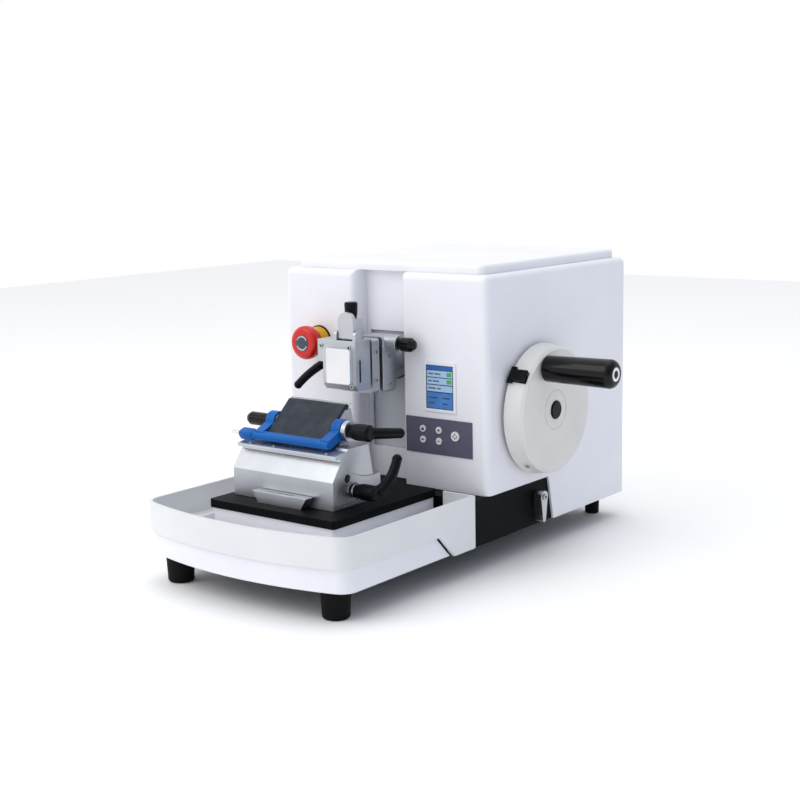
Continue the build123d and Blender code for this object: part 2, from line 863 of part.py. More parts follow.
knife_x0 = knife_x - knife_width / 2
knife_x1 = knife_x + knife_width / 2
knife_y0 = house_front - knife_front_reach
knife_y1 = house_front - knife_rear_reach
knife_z0 = table_top + knife_gap
base_lever_y = house_front - 117.0
base_lever_z = table_top + 14.0
slope = (math.cos(math.radians(knife_angle)), math.sin(math.radians(knife_angle)))


def on_slope(down, out):
    """A point in Y and Z, measured down the blade's slope from the edge and out from it."""
    return (edge_y - down * slope[0] - out * slope[1], edge_z - down * slope[1] + out * slope[0])


axis_y, axis_z = on_slope(axis_down_slope, -axis_below_slope)


def knife_table():
    x0 = table_x - table_width / 2
    x1 = table_x + table_width / 2
    plate = block(x0, x1, house_front - table_front_reach, house_front - table_rear_reach,
                  table_top - table_thickness, table_top)
    return chamfer(plate.edges().filter_by(Axis.Z), 2)


def table_pedestal():
    x0 = table_x - table_width / 2 + pedestal_inset
    x1 = table_x + table_width / 2 - pedestal_inset
    y0 = house_front - table_front_reach + pedestal_inset
    y1 = house_front - table_rear_reach
    solid = rounded_block(x0, x1, y0, y1, tongue_top, table_top - table_thickness, 4)
    return solid - block(x0 + 12, x1 - 12, y0 + 12, y1 - 12, tongue_top - 1, table_top - table_thickness - 8)


def rail_profile(gap):
    top = rail_top_width / 2 + gap
    bottom = rail_bottom_width / 2 + gap
    z1 = table_top + rail_height + gap
    return outline([
        (rail_x - bottom, table_top - gap),
        (rail_x + bottom, table_top - gap),
        (rail_x + top, z1),
        (rail_x - top, z1),
    ])


def table_rail():
    return along_y(rail_profile(0), house_front - rail_front_reach, house_front - rail_rear_reach)


def knife_base():
    """The base block: sloped front, arc seat on top, dovetail underneath."""
    face_z = table_top + knife_face_height
    seat = Pos(edge_y, edge_z) * Circle(seat_radius)
    face = outline([
        (knife_y0, knife_z0),
        (knife_y1, knife_z0),
        (knife_y1, edge_z - 40),
        (knife_y0 + 16, edge_z - 40),
        (knife_y0 + 11.2, face_z + 15.5),
        (knife_y0, face_z),
    ]) - seat
    solid = along_x(face, knife_x0, knife_x1)
    channel = along_y(rail_profile(0.4), knife_y0 - 1, knife_y1 + 1)
    solid -= channel
    pad = SlotOverall(34, 19)
    recess = extrude(Plane.YZ.offset(knife_x1 - 1.2) * (Pos(house_front - 126, table_top + 12.5) * pad), amount=3)
    solid -= recess
    solid -= bar_x(4.2, knife_x1 - 4, knife_x1 + 1, house_front - 128, face_z)
    return solid - bar_x(4.05, knife_x1 - 20, knife_x1 + 1, base_lever_y, base_lever_z)


def base_lever():
    x0 = knife_x1 + 2
    y = base_lever_y
    z = base_lever_z
    arm = [
        ((x0 + 21, y + 3, z + 1), 5.6),
        ((x0 + 24, y + 13, z + 6), 5.2),
        ((x0 + 26, y + 22, z + 17), 4.8),
        ((x0 + 26, y + 28, z + 28), 4.6),
    ]
    hub = clamping_lever(x0, x0 + 25, y, z, 7.6, arm)
    return hub + bar_x(6.4, knife_x1 + 0.4, x0, y, z) + bar_x(4.0, x0 - 20, x0, y, z)


def angle_segment():
    """The clearance-angle carrier: its arc runs in the base's seat about the knife edge."""
    r = seat_radius - seat_gap
    back = edge_y + 2
    lip = outline([
        (knife_y0 + 6, 128.3),
        (knife_y0 + 6, 131.2),
        (knife_y0 + 18, 133.4),
        (knife_y0 + 18, 128.3),
    ])
    face = outline([
        (knife_y0 + 12, 100),
        (knife_y0 + 12, 131),
        (knife_y0 + 22, 133.4),
        (knife_y0 + 24, segment_top),
        (back - 7, segment_top),
        (back, 100),
    ])
    disc = Pos(edge_y, edge_z) * Circle(r)
    solid = along_x((face & disc) + lip, knife_x0 + 1, knife_x1 - 1)
    guide = block(knife_x0 + 18, knife_x1 - 18, house_front - 117, house_front - 103,
                  segment_top, segment_top + guide_height)
    return solid + guide


def holder_body():
    """The blade holder: a sloped bed with two trunnions for the guard."""
    x0 = knife_x - holder_width / 2
    x1 = knife_x + holder_width / 2
    half_blade = blade_thickness / 2
    foot_z = segment_top + holder_lift
    top_front = on_slope(2.5, -half_blade)
    low_front = on_slope(47.0, -half_blade)
    face = outline([
        top_front,
        low_front,
        (low_front[0], foot_z),
        (house_front - 96, foot_z),
        (house_front - 84, 150),
        (on_slope(2.5, -6)[0], on_slope(2.5, -6)[1]),
    ])
    solid = along_x(face, x0, x1)
    trunnion = guard_side_gap * 2 + guard_arm_width
    for near, far in ((x0, x0 - trunnion), (x1, x1 + trunnion)):
        lo, hi = min(near, far), max(near, far)
        solid += bar_x(trunnion_radius, lo, hi, axis_y, axis_z)
    solid += bar_x(trunnion_radius + 2, x1 + trunnion, x1 + trunnion + 5, axis_y, axis_z)
    solid -= block(x0 - 30, x1 + 30, house_front - 117.4, house_front - 102.6,
                   foot_z - 1, segment_top + guide_height + holder_lift)
    solid -= bar_x(pivot_pin_radius + pivot_fit, x0 - trunnion - 1, x1 + trunnion + 6, axis_y, axis_z)
    return solid


def blade():
    half = blade_thickness / 2
    face = outline([
        on_slope(0, 0),
        on_slope(0.6, half),
        on_slope(blade_height, half),
        on_slope(blade_height, -half),
        on_slope(0.6, -half),
    ])
    return along_x(face, knife_x - holder_width / 2 - 3, knife_x + holder_width / 2 + 3)


def pressure_plate():
    half = blade_thickness / 2
    face = outline([
        on_slope(2.2, half),
        on_slope(2.4, half + 1.2),
        on_slope(5.5, half + pressure_thickness),
        on_slope(2.0 + pressure_length, half + pressure_thickness),
        on_slope(2.0 + pressure_length, half + 0.4),
        on_slope(blade_height + 1, half + 0.2),
        on_slope(blade_height + 0.5, half),
    ])
    return along_x(face, knife_x - holder_width / 2, knife_x + holder_width / 2)


def blade_lever():
    x0 = knife_x + holder_width / 2 + guard_side_gap * 2 + guard_arm_width + 5.5
    y = axis_y
    z = axis_z
    arm = [
        ((x0 + 19, y + 3, z - 0.5), 5.4),
        ((x0 + 23, y + 14, z - 2), 5.2),
        ((x0 + 26, y + 26, z - 3.5), 5.0),
        ((x0 + 28, y + 37, z - 5), 4.8),
    ]
    hub = clamping_lever(x0, x0 + 24, y, z, 8.0, arm)
    return hub + bar_x(3.0, knife_x - holder_width / 2 - 5, x0, y, z)


def shift_knob():
    x1 = knife_x - holder_width / 2 - guard_side_gap * 2 - guard_arm_width - 0.5
    profile = [
        (x1, 0),
        (x1, 5.4),
        (x1 - 3, 6.7),
        (x1 - 25, 6.7),
        (x1 - 28.5, 4.8),
        (x1 - 28.5, 0),
    ]
    knob = turned_x(profile, axis_y, axis_z)
    return knob + bar_x(3.0, x1, x1 + 6, axis_y, axis_z)


def blade_guard():
    """The finger guard: a bar on two arms that turn about the holder's trunnions."""
    inner = holder_width / 2 + guard_side_gap
    outer = inner + guard_arm_width
    angle = math.radians(guard_angle)
    mid = (guard_inner_radius + guard_outer_radius) / 2
    bar_y0 = axis_y + mid * math.cos(angle)
    bar_z0 = axis_z + mid * math.sin(angle)
    bar_face = Pos(bar_y0, bar_z0) * Rot(0, 0, guard_angle) * Rectangle(guard_outer_radius - guard_inner_radius, guard_bar_height)
    bar_face = chamfer(bar_face.vertices(), 1.6)
    solid = along_x(bar_face, knife_x - outer - 19, knife_x + outer)
    ring = Circle(trunnion_radius + guard_ring)
    web = Pos(mid / 2, 0) * Rectangle(mid, 9)
    arm_face = Pos(axis_y, axis_z) * Rot(0, 0, guard_angle) * (web + ring)
    hole = Pos(axis_y, axis_z) * Circle(trunnion_radius + 0.3)
    for x0, x1 in ((-outer, -inner), (inner, outer)):
        solid += along_x(arm_face - hole, knife_x + x0, knife_x + x1)
        solid -= bar_x(trunnion_radius + 0.3, knife_x + x0, knife_x + x1, axis_y, axis_z)
    return solid + bar_x(1.8, knife_x - outer - 31, knife_x - outer - 19, bar_y0, bar_z0)


# Handwheel, crank and brake

grip_y = wheel_y + grip_orbit * math.cos(math.radians(grip_angle))
grip_z = wheel_z + grip_orbit * math.sin(math.radians(grip_angle))
wheel_x0 = house_right + wheel_gap
wheel_x1 = wheel_x0 + wheel_width
lock_half = lock_width / 2


def rim_frame():
    """A place on the rim: X stays along the axle, Z points outwards at the lock's angle."""
    return Pos(0, wheel_y, wheel_z) * Rot(lock_angle - 90, 0, 0)


def handwheel():
    front = wheel_x1
    profile = [
        (wheel_x0, wheel_back_radius - wheel_rim),
        (wheel_x0, wheel_back_radius),
        (front - wheel_bevel, wheel_front_radius),
        (front, wheel_front_radius - wheel_bevel),
        (front, wheel_front_radius - wheel_bevel - 5),
        (front - 1.6, wheel_hub_radius + 14),
        (front - 1.6, hub_cap_radius + 0.2),
        (front - 4.0, hub_cap_radius + 0.2),
        (front - 4.0, shaft_radius),
        (house_right + 1.5, shaft_radius),
        (house_right + 1.5, wheel_hub_radius),
        (front - wheel_web - 1.6, wheel_hub_radius),
        (front - wheel_web - 1.6, wheel_front_radius - wheel_rim),
    ]
    wheel = turned_x(profile, wheel_y, wheel_z)
    boss = bar_x(10, front - 14, front + 0.6, grip_y, grip_z)
    wheel += boss
    slot = rim_frame() * block(wheel_x0 - 1, front - 2.4, -lock_half - 0.3, lock_half + 0.3,
                               wheel_front_radius - wheel_rim - 3, wheel_back_radius + 2)
    wheel -= slot
    return wheel - bar_x(grip_bolt_radius, front - 15, front + 1, grip_y, grip_z)


def hub_cap():
    x0 = wheel_x1 - 4.0
    profile = [
        (x0, 0),
        (x0, hub_cap_radius),
        (wheel_x1 - 0.8, hub_cap_radius),
        (wheel_x1, hub_cap_radius - 1.0),
        (wheel_x1, 0),
    ]
    return turned_x(profile, wheel_y, wheel_z)


def crankshaft():
    """The axle with its crank: a pin above the axle and a counterweight opposite."""
    axle = bar_x(shaft_radius, crank_x - 1, wheel_x1 - 4.0, wheel_y, wheel_z)
    x0 = crank_x - crank_disc_width
    disc = bar_x(crank_disc_radius, x0, crank_x, wheel_y, wheel_z)
    cut = block(x0 - 1, crank_x + 1, wheel_y - 60, wheel_y + 60, wheel_z - 4, wheel_z + 60)
    web = outline([
        (wheel_y - 18, wheel_z - 5),
        (wheel_y + 18, wheel_z - 5),
        (wheel_y + 11, wheel_z + crank_radius),
        (wheel_y - 11, wheel_z + crank_radius),
    ])
    solid = (disc - cut) + along_x(web, x0, crank_x)
    solid += bar_x(11, x0, crank_x, wheel_y, wheel_z + crank_radius)
    solid += bar_x(20, x0, crank_x, wheel_y, wheel_z)
    pin_end = yoke_x1 + 1.5
    return solid + bar_x(crank_pin_radius, pin_end, x0 + 1, wheel_y, wheel_z + crank_radius) + axle


def handle_grip():
    x0 = wheel_x1 + 1.2
    x1 = x0 + grip_length
    points = [
        (x0, 0),
        (x0, grip_base_radius - 1.5),
        (x0 + 1.5, grip_base_radius),
        (x1 - 6, grip_end_radius),
    ]
    body = Polyline(*points)
    end_arc = ThreePointArc((x1 - 6, grip_end_radius), (x1 - 1.6, grip_end_radius - 2.2), (x1, grip_end_radius - 6))
    close = Polyline((x1, grip_end_radius - 6), (x1, 0), (x0, 0))
    grip = Pos(0, grip_y, grip_z) * revolve(make_face([body, end_arc, close]), axis=Axis.X)
    grip -= bar_x(grip_bolt_radius + 0.05, x0 - 1, x1 + 1, grip_y, grip_z)
    return grip - bar_x(7.0, x1 - 4, x1 + 1, grip_y, grip_z)


def grip_bolt():
    """The socket-head bolt that the grip turns on."""
    x_end = wheel_x1 + 1.2 + grip_length - 0.6
    head = bar_x(6.5, x_end - 3.0, x_end, grip_y, grip_z)
    head -= extrude(Plane.YZ.offset(x_end - 2) * (Pos(grip_y, grip_z) * RegularPolygon(3.0, 6)), amount=3)
    return head + bar_x(grip_bolt_radius, wheel_x1 - 14, x_end - 3.0, grip_y, grip_z)


def rim_lock():
    """The T-shaped slider in the rim: a wide lip behind, a narrow cover in front."""
    x0 = wheel_x0 - 1.0
    tongue = block(x0 + 2, x0 + 13, -lock_half, lock_half, wheel_front_radius - wheel_rim - 2, wheel_back_radius + 0.6)
    cover = block(x0, wheel_x1 - 2, -lock_half, lock_half, wheel_back_radius + 0.4, wheel_back_radius + 2.6)
    lip = block(x0, x0 + 6, -lock_lip_width / 2, lock_lip_width / 2, wheel_back_radius + 0.4, wheel_back_radius + 2.6)
    return rim_frame() * (tongue + cover + lip)


def brake_lever():
    """The flat brake lever on its pivot shaft, with the cam inside the base."""
    y = house_front + brake_reach
    z = brake_z
    x0 = house_right + brake_gap
    x1 = x0 + brake_thickness
    low = z - brake_length
    face = outline([(y - 6, z), (y + 6, z), (y + 2.6, low), (y - 2.6, low)])
    face += Pos(y, z) * Circle(6.3)
    face += Pos(y, low) * Circle(2.7)
    solid = along_x(face, x0, x1)
    return solid + bar_x(4.0, x0 - 36, x0, y, z)


# Front panel and boards

def display_window(gap, y0, y1):
    x = house_right - bezel_centre_inset
    half_x = bezel_width / 2 - bezel_border + gap
    half_z = bezel_height / 2 - bezel_border + gap
    return block(x - half_x, x + half_x, y0, y1, bezel_centre_z - half_z, bezel_centre_z + half_z)


def display_bezel():
    x = house_right - bezel_centre_inset
    z = bezel_centre_z
    frame = block(x - bezel_width / 2, x + bezel_width / 2, house_front - 1.2, house_front,
                  z - bezel_height / 2, z + bezel_height / 2)
    frame = chamfer(frame.edges().filter_by(Axis.Y), 1.2)
    return frame - display_window(0, house_front - 2, house_front + 1)


def display_glass():
    return display_window(0, house_front - 0.7, house_front + 7)


def keypad_panel():
    z = keypad_centre_z
    panel = block(keypad_x0, keypad_x1, house_front - keypad_thickness, house_front,
                  z - keypad_height / 2, z + keypad_height / 2)
    for key_x, key_z, radius in key_places().values():
        panel -= bar_y(radius + key_gap, house_front - 5, house_front + 1, key_x, key_z)
    return panel


def key_button(x, z, radius):
    cap = bar_y(radius, house_front - keypad_thickness - 1.0, house_front - key_travel - 0.15, x, z)
    return cap + bar_y(radius - 1.2, house_front - key_travel - 0.15, house_front + 5.8, x, z)


def front_board():
    x0 = channel_right + house_wall + 3.0
    x1 = house_right - 19.2
    y0 = house_front + 7.0
    board = block(x0, x1, y0, y0 + 1.6, keypad_centre_z - 19.5, bezel_centre_z + 27)
    board += block(x0 + 10, x1 - 16, y0 + 1.6, y0 + 8, bezel_centre_z - 27, bezel_centre_z + 3)
    for x, z, radius in key_places().values():
        board += bar_y(1.5, y0 - 0.7, y0, x, z)
    return board


def estop_collar():
    x = stop_x
    y = house_front
    profile = [
        (stop_radius * 0.5, y),
        (14.6, y),
        (14.6, y - 3),
        (13.6, y - 4),
        (13.6, y - 12),
        (stop_radius * 0.5, y - 12),
    ]
    ring = turned_y(profile, x, stop_z)
    barrel = bar_y(stop_radius * 0.54, y, y + 26, x, stop_z)
    return ring + barrel - bar_y(7.3, y - 13, y + 20, x, stop_z)


def estop_button():
    x = stop_x
    y = house_front - 17.0
    r = stop_radius
    cap = bar_y(r, y - stop_cap_height, y, x, stop_z)
    rims = cap.edges().sort_by(Axis.Y)
    cap = fillet(rims[0], 5.5)
    cap = fillet(cap.edges().group_by(Axis.Y)[-1], 2.5)
    return cap + bar_y(7.0, y - 1, house_front + 14, x, stop_z)


def main_board():
    x0 = house_left + 6.0
    y0 = house_front + 60.0
    top = house_top - 33.0
    board = block(x0, x0 + 1.6, y0, y0 + 130, top - 105, top)
    for y, down, size in ((20, 85, 22), (60, 75, 26), (96, 55, 18), (40, 30, 20)):
        board += block(x0 + 1.6, x0 + 8, y0 + y, y0 + y + size, top - down, top - down + size)
    for y in (6, 124):
        for z in (top - 99, top - 6):
            board += bar_x(3, house_left + house_wall, x0, y0 + y, z)
    return board


def power_supply():
    x0 = house_left + 12.0
    y0 = house_front + 140.0
    box = block(x0, x0 + 62, y0, y0 + 85, base_top, base_top + 42)
    return chamfer(box.edges().group_by(Axis.Z)[-1], 2)


# Waste tray and apron

def tray_outline(inset, rear):
    """The bowed tray outline in plan, moved inwards by inset."""
    half = tray_width / 2 - inset
    corner_y = house_front - tray_corner_reach + inset
    bow_y = corner_y - tray_bow
    sides = Polyline((tray_x + half, corner_y), (tray_x + half, rear), (tray_x - half, rear), (tray_x - half, corner_y))
    bow = ThreePointArc((tray_x - half, corner_y), (tray_x, bow_y), (tray_x + half, corner_y))
    face = make_face([sides, bow])
    front_corners = face.vertices().sort_by(Axis.Y)[:2]
    return fillet(front_corners, tray_corner - inset)


slant_foot_reach = 55.0


def tray_slant(gap):
    """The slanted end of the apron and of the tray's rear legs, in Y and Z."""
    rise = tray_floor_z - base_bottom
    y = house_front - slant_foot_reach + gap
    return outline([
        (y - 300, base_bottom - 1),
        (y + 1, base_bottom - 1),
        (y - rise, tray_floor_z),
        (y - 300, tray_floor_z),
    ])


def waste_tray():
    """A trough round three sides of the table, closed behind, with legs that reach down at its rear."""
    rear = house_front - base_reach
    solid = along_z(tray_outline(0, rear), base_bottom, tray_top)
    solid -= along_z(tray_outline(tray_wall, rear - tray_wall), tray_floor_z + tray_wall, tray_top + 1)
    solid -= along_z(tray_outline(tray_wall, rear + 5), base_bottom - 1, tray_floor_z)
    solid -= along_x(tray_slant(0), house_left - 20, house_right + 20)
    solid += block(trough_x0 - tray_wall, trough_x1 + tray_wall, trough_y - tray_wall, rear,
                   tray_floor_z, tray_floor_z + tray_lip)
    return solid - block(trough_x0, trough_x1, trough_y, rear + 1, tray_floor_z - 1, tray_top + 1)


def front_apron():
    """The white skirt and deck under the tray."""
    rear = house_front - base_reach - 1
    top = tray_floor_z - apron_gap
    solid = along_z(tray_outline(apron_inset, rear), base_bottom + 0.5, top)
    solid -= along_z(tray_outline(apron_inset + tray_wall, rear + 5), base_bottom - 1, top - apron_deck)
    solid &= along_x(tray_slant(-tray_slant_gap), house_left - 20, house_right + 20)
    hole = pedestal_inset - 0.5
    return solid - block(table_x - table_width / 2 + hole, table_x + table_width / 2 - hole,
                         house_front - table_front_reach + hole, rear + 1, base_bottom, tray_top)


def write(name, solid):
    solid.label = name
    export_step(solid, f"parts/{name}.step")


simple_parts = [
    housing_shell, housing_lid, power_inlet, power_switch, base_casting, feet, left_upright, right_upright,
    upright_screws, shaft_bearings, guide_rails, slide_carriage, bearing_blocks, slot_shield, yoke_shoe, feed_motor,
    feed_spindle, feed_quill, head_base, swivel_block, specimen_clamp, cassette_plate, cassette_lever, tilt_knob,
    swivel_knob, orientation_lever, knife_table, table_pedestal, table_rail, knife_base, base_lever,
    angle_segment, holder_body, blade, pressure_plate, blade_lever, shift_knob, blade_guard, handwheel, hub_cap,
    crankshaft, handle_grip, grip_bolt, rim_lock, brake_lever, display_bezel, display_glass,
    keypad_panel, front_board, estop_collar, estop_button, main_board, power_supply, waste_tray, front_apron,
]

for make in simple_parts:
    write(make.__name__, make())

for key_name, (key_x, key_z, key_radius) in key_places().items():
    write(key_name, key_button(key_x, key_z, key_radius))
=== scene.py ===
import math

import bmesh
import bpy
from mathutils import Matrix, Vector


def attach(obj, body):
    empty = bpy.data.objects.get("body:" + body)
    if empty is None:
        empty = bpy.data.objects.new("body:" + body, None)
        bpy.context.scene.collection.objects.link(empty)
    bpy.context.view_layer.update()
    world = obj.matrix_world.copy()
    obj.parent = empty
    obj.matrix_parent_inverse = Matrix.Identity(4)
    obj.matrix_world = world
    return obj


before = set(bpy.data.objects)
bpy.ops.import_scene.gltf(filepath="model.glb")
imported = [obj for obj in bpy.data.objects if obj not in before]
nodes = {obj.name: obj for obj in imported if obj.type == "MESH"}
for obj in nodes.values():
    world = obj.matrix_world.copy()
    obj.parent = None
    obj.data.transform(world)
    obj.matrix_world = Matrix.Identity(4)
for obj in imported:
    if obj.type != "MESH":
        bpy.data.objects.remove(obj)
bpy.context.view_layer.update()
print("frame loaded", len(nodes))

millimetre = 0.001


def colour(hexText):
    parts = [int(hexText[i:i + 2], 16) / 255 for i in (0, 2, 4)]
    linear = [c / 12.92 if c <= 0.04045 else ((c + 0.055) / 1.055) ** 2.4 for c in parts]
    return (*linear, 1.0)


# Settings go to the node's own options or, where it has none of that name, to its sockets.
def addNode(tree, kind, settings=None, links=None, stops=()):
    node = tree.nodes.new(kind)
    for key, value in (settings or {}).items():
        if isinstance(key, str) and hasattr(node, key):
            setattr(node, key, value)
        else:
            node.inputs[key].default_value = value
    for key, socket in (links or {}).items():
        tree.links.new(socket, node.inputs[key])
    for i, (position, tint) in enumerate(stops):
        node.color_ramp.elements[i].position = position
        node.color_ramp.elements[i].color = colour(tint)
    return node


def newTree(name):
    material = bpy.data.materials.new(name)
    material.use_nodes = True
    tree = material.node_tree
    tree.nodes.clear()
    return material, tree


# Patch, grain and edge are lengths in millimetres. Patches are the slow change of shade over a face, grain
# is the fine texture and edge is the radius that the light sees on a corner. Real moulding grain and orange
# peel are near 0.1 mm, too fine to show, so they are drawn coarser. The wear colour is painted on corners:
# partly rubbed wear, partly a painted edge highlight.
def surface(name, base, shade, grain, bump, patch=71.4, rough=(0.35, 0.5), edgeWearAndHighlight=None, edge=0.6,
            metallic=0.0, coat=0.0, specular=0.5):
    material, tree = newTree(name)
    place = addNode(tree, "ShaderNodeTexCoord")
    patches = addNode(tree, "ShaderNodeTexNoise",
                      {"Scale": 1 / (patch * millimetre), "Detail": 4.0, "Roughness": 0.55},
                      {"Vector": place.outputs["Object"]})
    fine = addNode(tree, "ShaderNodeTexNoise",
                   {"Scale": 1 / (grain * millimetre), "Detail": 3.0, "Roughness": 0.6},
                   {"Vector": place.outputs["Object"]})
    shades = addNode(tree, "ShaderNodeValToRGB", {}, {"Fac": patches.outputs["Fac"]},
                     ((0.3, shade), (0.7, base)))
    tone = shades.outputs["Color"]
    softened = addNode(tree, "ShaderNodeBevel", {"samples": 6, "Radius": edge * millimetre})
    # Corners take the wear colour: rubbed wear together with a painted edge highlight.
    if edgeWearAndHighlight:
        face = addNode(tree, "ShaderNodeNewGeometry")
        facing = addNode(tree, "ShaderNodeVectorMath", {"operation": "DOT_PRODUCT"},
                         {0: softened.outputs["Normal"], 1: face.outputs["Normal"]})
        corner = addNode(tree, "ShaderNodeMapRange",
                         {"From Min": 0.995, "From Max": 0.85, "To Min": 0.0, "To Max": 1.0},
                         {"Value": facing.outputs["Value"]})
        wornAndLitEdge = addNode(tree, "ShaderNodeMath", {"operation": "MULTIPLY", "use_clamp": True},
                         {0: corner.outputs["Result"], 1: patches.outputs["Fac"]})
        mixed = addNode(tree, "ShaderNodeMix", {"data_type": "RGBA", 7: colour(edgeWearAndHighlight)},
                        {0: wornAndLitEdge.outputs["Value"], 6: tone})
        tone = mixed.outputs[2]
    roughness = addNode(tree, "ShaderNodeMapRange", {"To Min": rough[0], "To Max": rough[1]},
                        {"Value": fine.outputs["Fac"]})
    relief = addNode(tree, "ShaderNodeBump", {"Strength": bump, "Distance": millimetre},
                     {"Height": fine.outputs["Fac"], "Normal": softened.outputs["Normal"]})
    shader = addNode(tree, "ShaderNodeBsdfPrincipled",
                     {"Metallic": metallic, "Coat Weight": coat, "Coat Roughness": 0.15,
                      "Specular IOR Level": specular},
                     {"Base Color": tone, "Roughness": roughness.outputs["Result"],
                      "Normal": relief.outputs["Normal"]})
    addNode(tree, "ShaderNodeOutputMaterial", {}, {"Surface": shader.outputs["BSDF"]})
    return material


finishSettings = {
    # Powder coat on sheet steel: a satin, faintly lavender white whose orange peel blurs the highlights.
    "powderCoat": dict(base="EEEEF4", shade="E9E9F0", grain=1.43, rough=(0.34, 0.44), bump=0.03,
                       edge=1.2),
    # The same coat on the lid, a touch lighter: painted light on the top face.
    "lidCoatPaintedLight": dict(base="EFEFF3", shade="EAEAEF", grain=1.43, rough=(0.34, 0.44), bump=0.03, edge=1.0),
    # Moulded ABS: an even, smooth white, made greyer than the coat as painted shade on the tray.
    "trayAbsPaintedShade": dict(base="E3E4E6", shade="DCDEE0", grain=0.667, rough=(0.32, 0.36), bump=0.0, edge=0.5),
    # Stove enamel on the cast wheel: a warmer white with a soft shine.
    "wheelEnamel": dict(base="E4E3E0", shade="DAD9D6", grain=1.11, rough=(0.32, 0.42), bump=0.03,
                        edge=1.0),
    # Textured paint on cast iron: nearly black and dull, greyer on corners for rubbed wear and a painted
    # edge highlight.
    "castingPaint": dict(base="090A0E", shade="06070A", grain=0.667, rough=(0.5, 0.68), bump=0.08,
                         edgeWearAndHighlight="24262B", specular=0.08),
    # Glass-filled nylon: black with a fine grain and a broad, weak shine; greyer corners for wear and
    # painted edge highlight.
    "leverNylon": dict(base="08090D", shade="05060A", grain=0.455, rough=(0.3, 0.42), bump=0.04,
                       edgeWearAndHighlight="24262B", specular=0.14),
    # Polished phenolic: deep black with narrow, clear highlights.
    "gripPhenolic": dict(base="060609", shade="040406", grain=0.833, rough=(0.12, 0.2), bump=0.01,
                         specular=0.2, coat=0.1),
    # Moulded rubber: matt black.
    "footRubber": dict(base="0E0E0F", shade="09090A", grain=0.556, rough=(0.6, 0.8), bump=0.1,
                       specular=0.15),
    # Bead-blasted, anodised aluminium: an even silver haze with brighter corners, from wear and a painted
    # edge highlight.
    "anodisedAluminium": dict(base="C9CBD0", shade="B4B7BD", grain=0.385, rough=(0.3, 0.42), bump=0.04,
                              metallic=1.0, edgeWearAndHighlight="F2F3F4"),
    # Lapped aluminium: nearly white and smooth, with clear reflections; lighter corners for wear and
    # painted edge highlight.
    "lappedAluminium": dict(base="E6E5E6", shade="DCDBDD", grain=2.0, patch=33.3, rough=(0.16, 0.24),
                            bump=0.005, metallic=1.0, edgeWearAndHighlight="F4F4F5"),
    # Turned steel: bright and a little soft from the tool's marks.
    "turnedSteel": dict(base="C6C7CA", shade="AFB1B5", grain=0.625, rough=(0.18, 0.3), bump=0.03,
                        metallic=1.0),
    # Blackened steel: slate grey, cloudy from the bath, bright at the corners from wear and a painted edge
    # highlight.
    "blackenedSteel": dict(base="3A404A", shade="2A2F37", grain=1.11, patch=16.7, rough=(0.3, 0.55),
                           bump=0.03, metallic=0.6, edgeWearAndHighlight="7C8088", specular=0.3),
    # Bare cast iron: grey, dull and rough.
    "castIron": dict(base="5B5F63", shade="4A4D51", grain=1.11, rough=(0.5, 0.7), bump=0.15),
    # Dyed nylon: a saturated, even blue, lighter at the corners for wear and a painted edge highlight.
    "guardNylon": dict(base="0062B6", shade="00529E", grain=0.667, rough=(0.32, 0.44), bump=0.05,
                       edgeWearAndHighlight="2484CC", specular=0.2),
    # Printed polyester film: flat purple-grey.
    "keypadFilm": dict(base="5F5D70", shade="565468", grain=0.385, rough=(0.5, 0.6), bump=0.04,
                       specular=0.25),
    # Glossy ABS of the stop button: a strong red under a clear shine.
    "redAbs": dict(base="D01A12", shade="BC130D", grain=1.67, rough=(0.22, 0.3), bump=0.01, coat=0.3,
                   specular=0.3),
    # ABS of the stop button's collar: a warm yellow, a little duller.
    "yellowAbs": dict(base="E3A30F", shade="D5960A", grain=1.67, rough=(0.25, 0.35), bump=0.01,
                      specular=0.3),
    # Moulded keys: a clean, cool white.
    "keyAbs": dict(base="E9E9EC", shade="DFDFE3", grain=1.11, rough=(0.3, 0.4), bump=0.02, edge=0.3),
    # Solder mask on glass fibre: a semi-gloss green.
    "circuitBoard": dict(base="1F6B3A", shade="185A30", grain=1.25, rough=(0.4, 0.5), bump=0.05),
    # Display glass: dark and smooth, with a sharp coat of shine.
    "displayGlass": dict(base="27415F", shade="203850", grain=2.0, rough=(0.12, 0.18), bump=0.0,
                         coat=0.5),
    # Painted sheet: plain light grey.
    "shieldPaint": dict(base="C9CCD3", shade="BDC1C9", grain=1.11, rough=(0.4, 0.5), bump=0.04),
    # The lit areas of the display: flat colours with no grain.
    "litHeader": dict(base="2B62B5", shade="2659A8", grain=2.0, bump=0.0, edge=0.05),
    "litRow": dict(base="A9C9EA", shade="9FC0E2", grain=2.0, bump=0.0, edge=0.05),
    "litField": dict(base="4B86CC", shade="3A73BC", grain=2.0, patch=16.7, bump=0.0, edge=0.05),
    "litBlock": dict(base="4FAE5A", shade="439E4E", grain=2.0, bump=0.0, edge=0.05),
    # Printing ink: flat and nearly black. The same black is also painted shade in screw sockets, the grip
    # bolt, the side hole, the pad's edge, the rail slit and the ledge slot.
    "printInkAndShade": dict(base="23242A", shade="1C1D22", grain=1.11, rough=(0.5, 0.6), bump=0.0, edge=0.05,
                     specular=0.2),
    # Moulded insert: dark slate blue, slightly dull.
    "slateInsert": dict(base="39455A", shade="2F3A4C", grain=1.11, rough=(0.35, 0.45), bump=0.01,
                        edge=0.2),
}
finishes = {name: surface(name, **settings) for name, settings in finishSettings.items()}

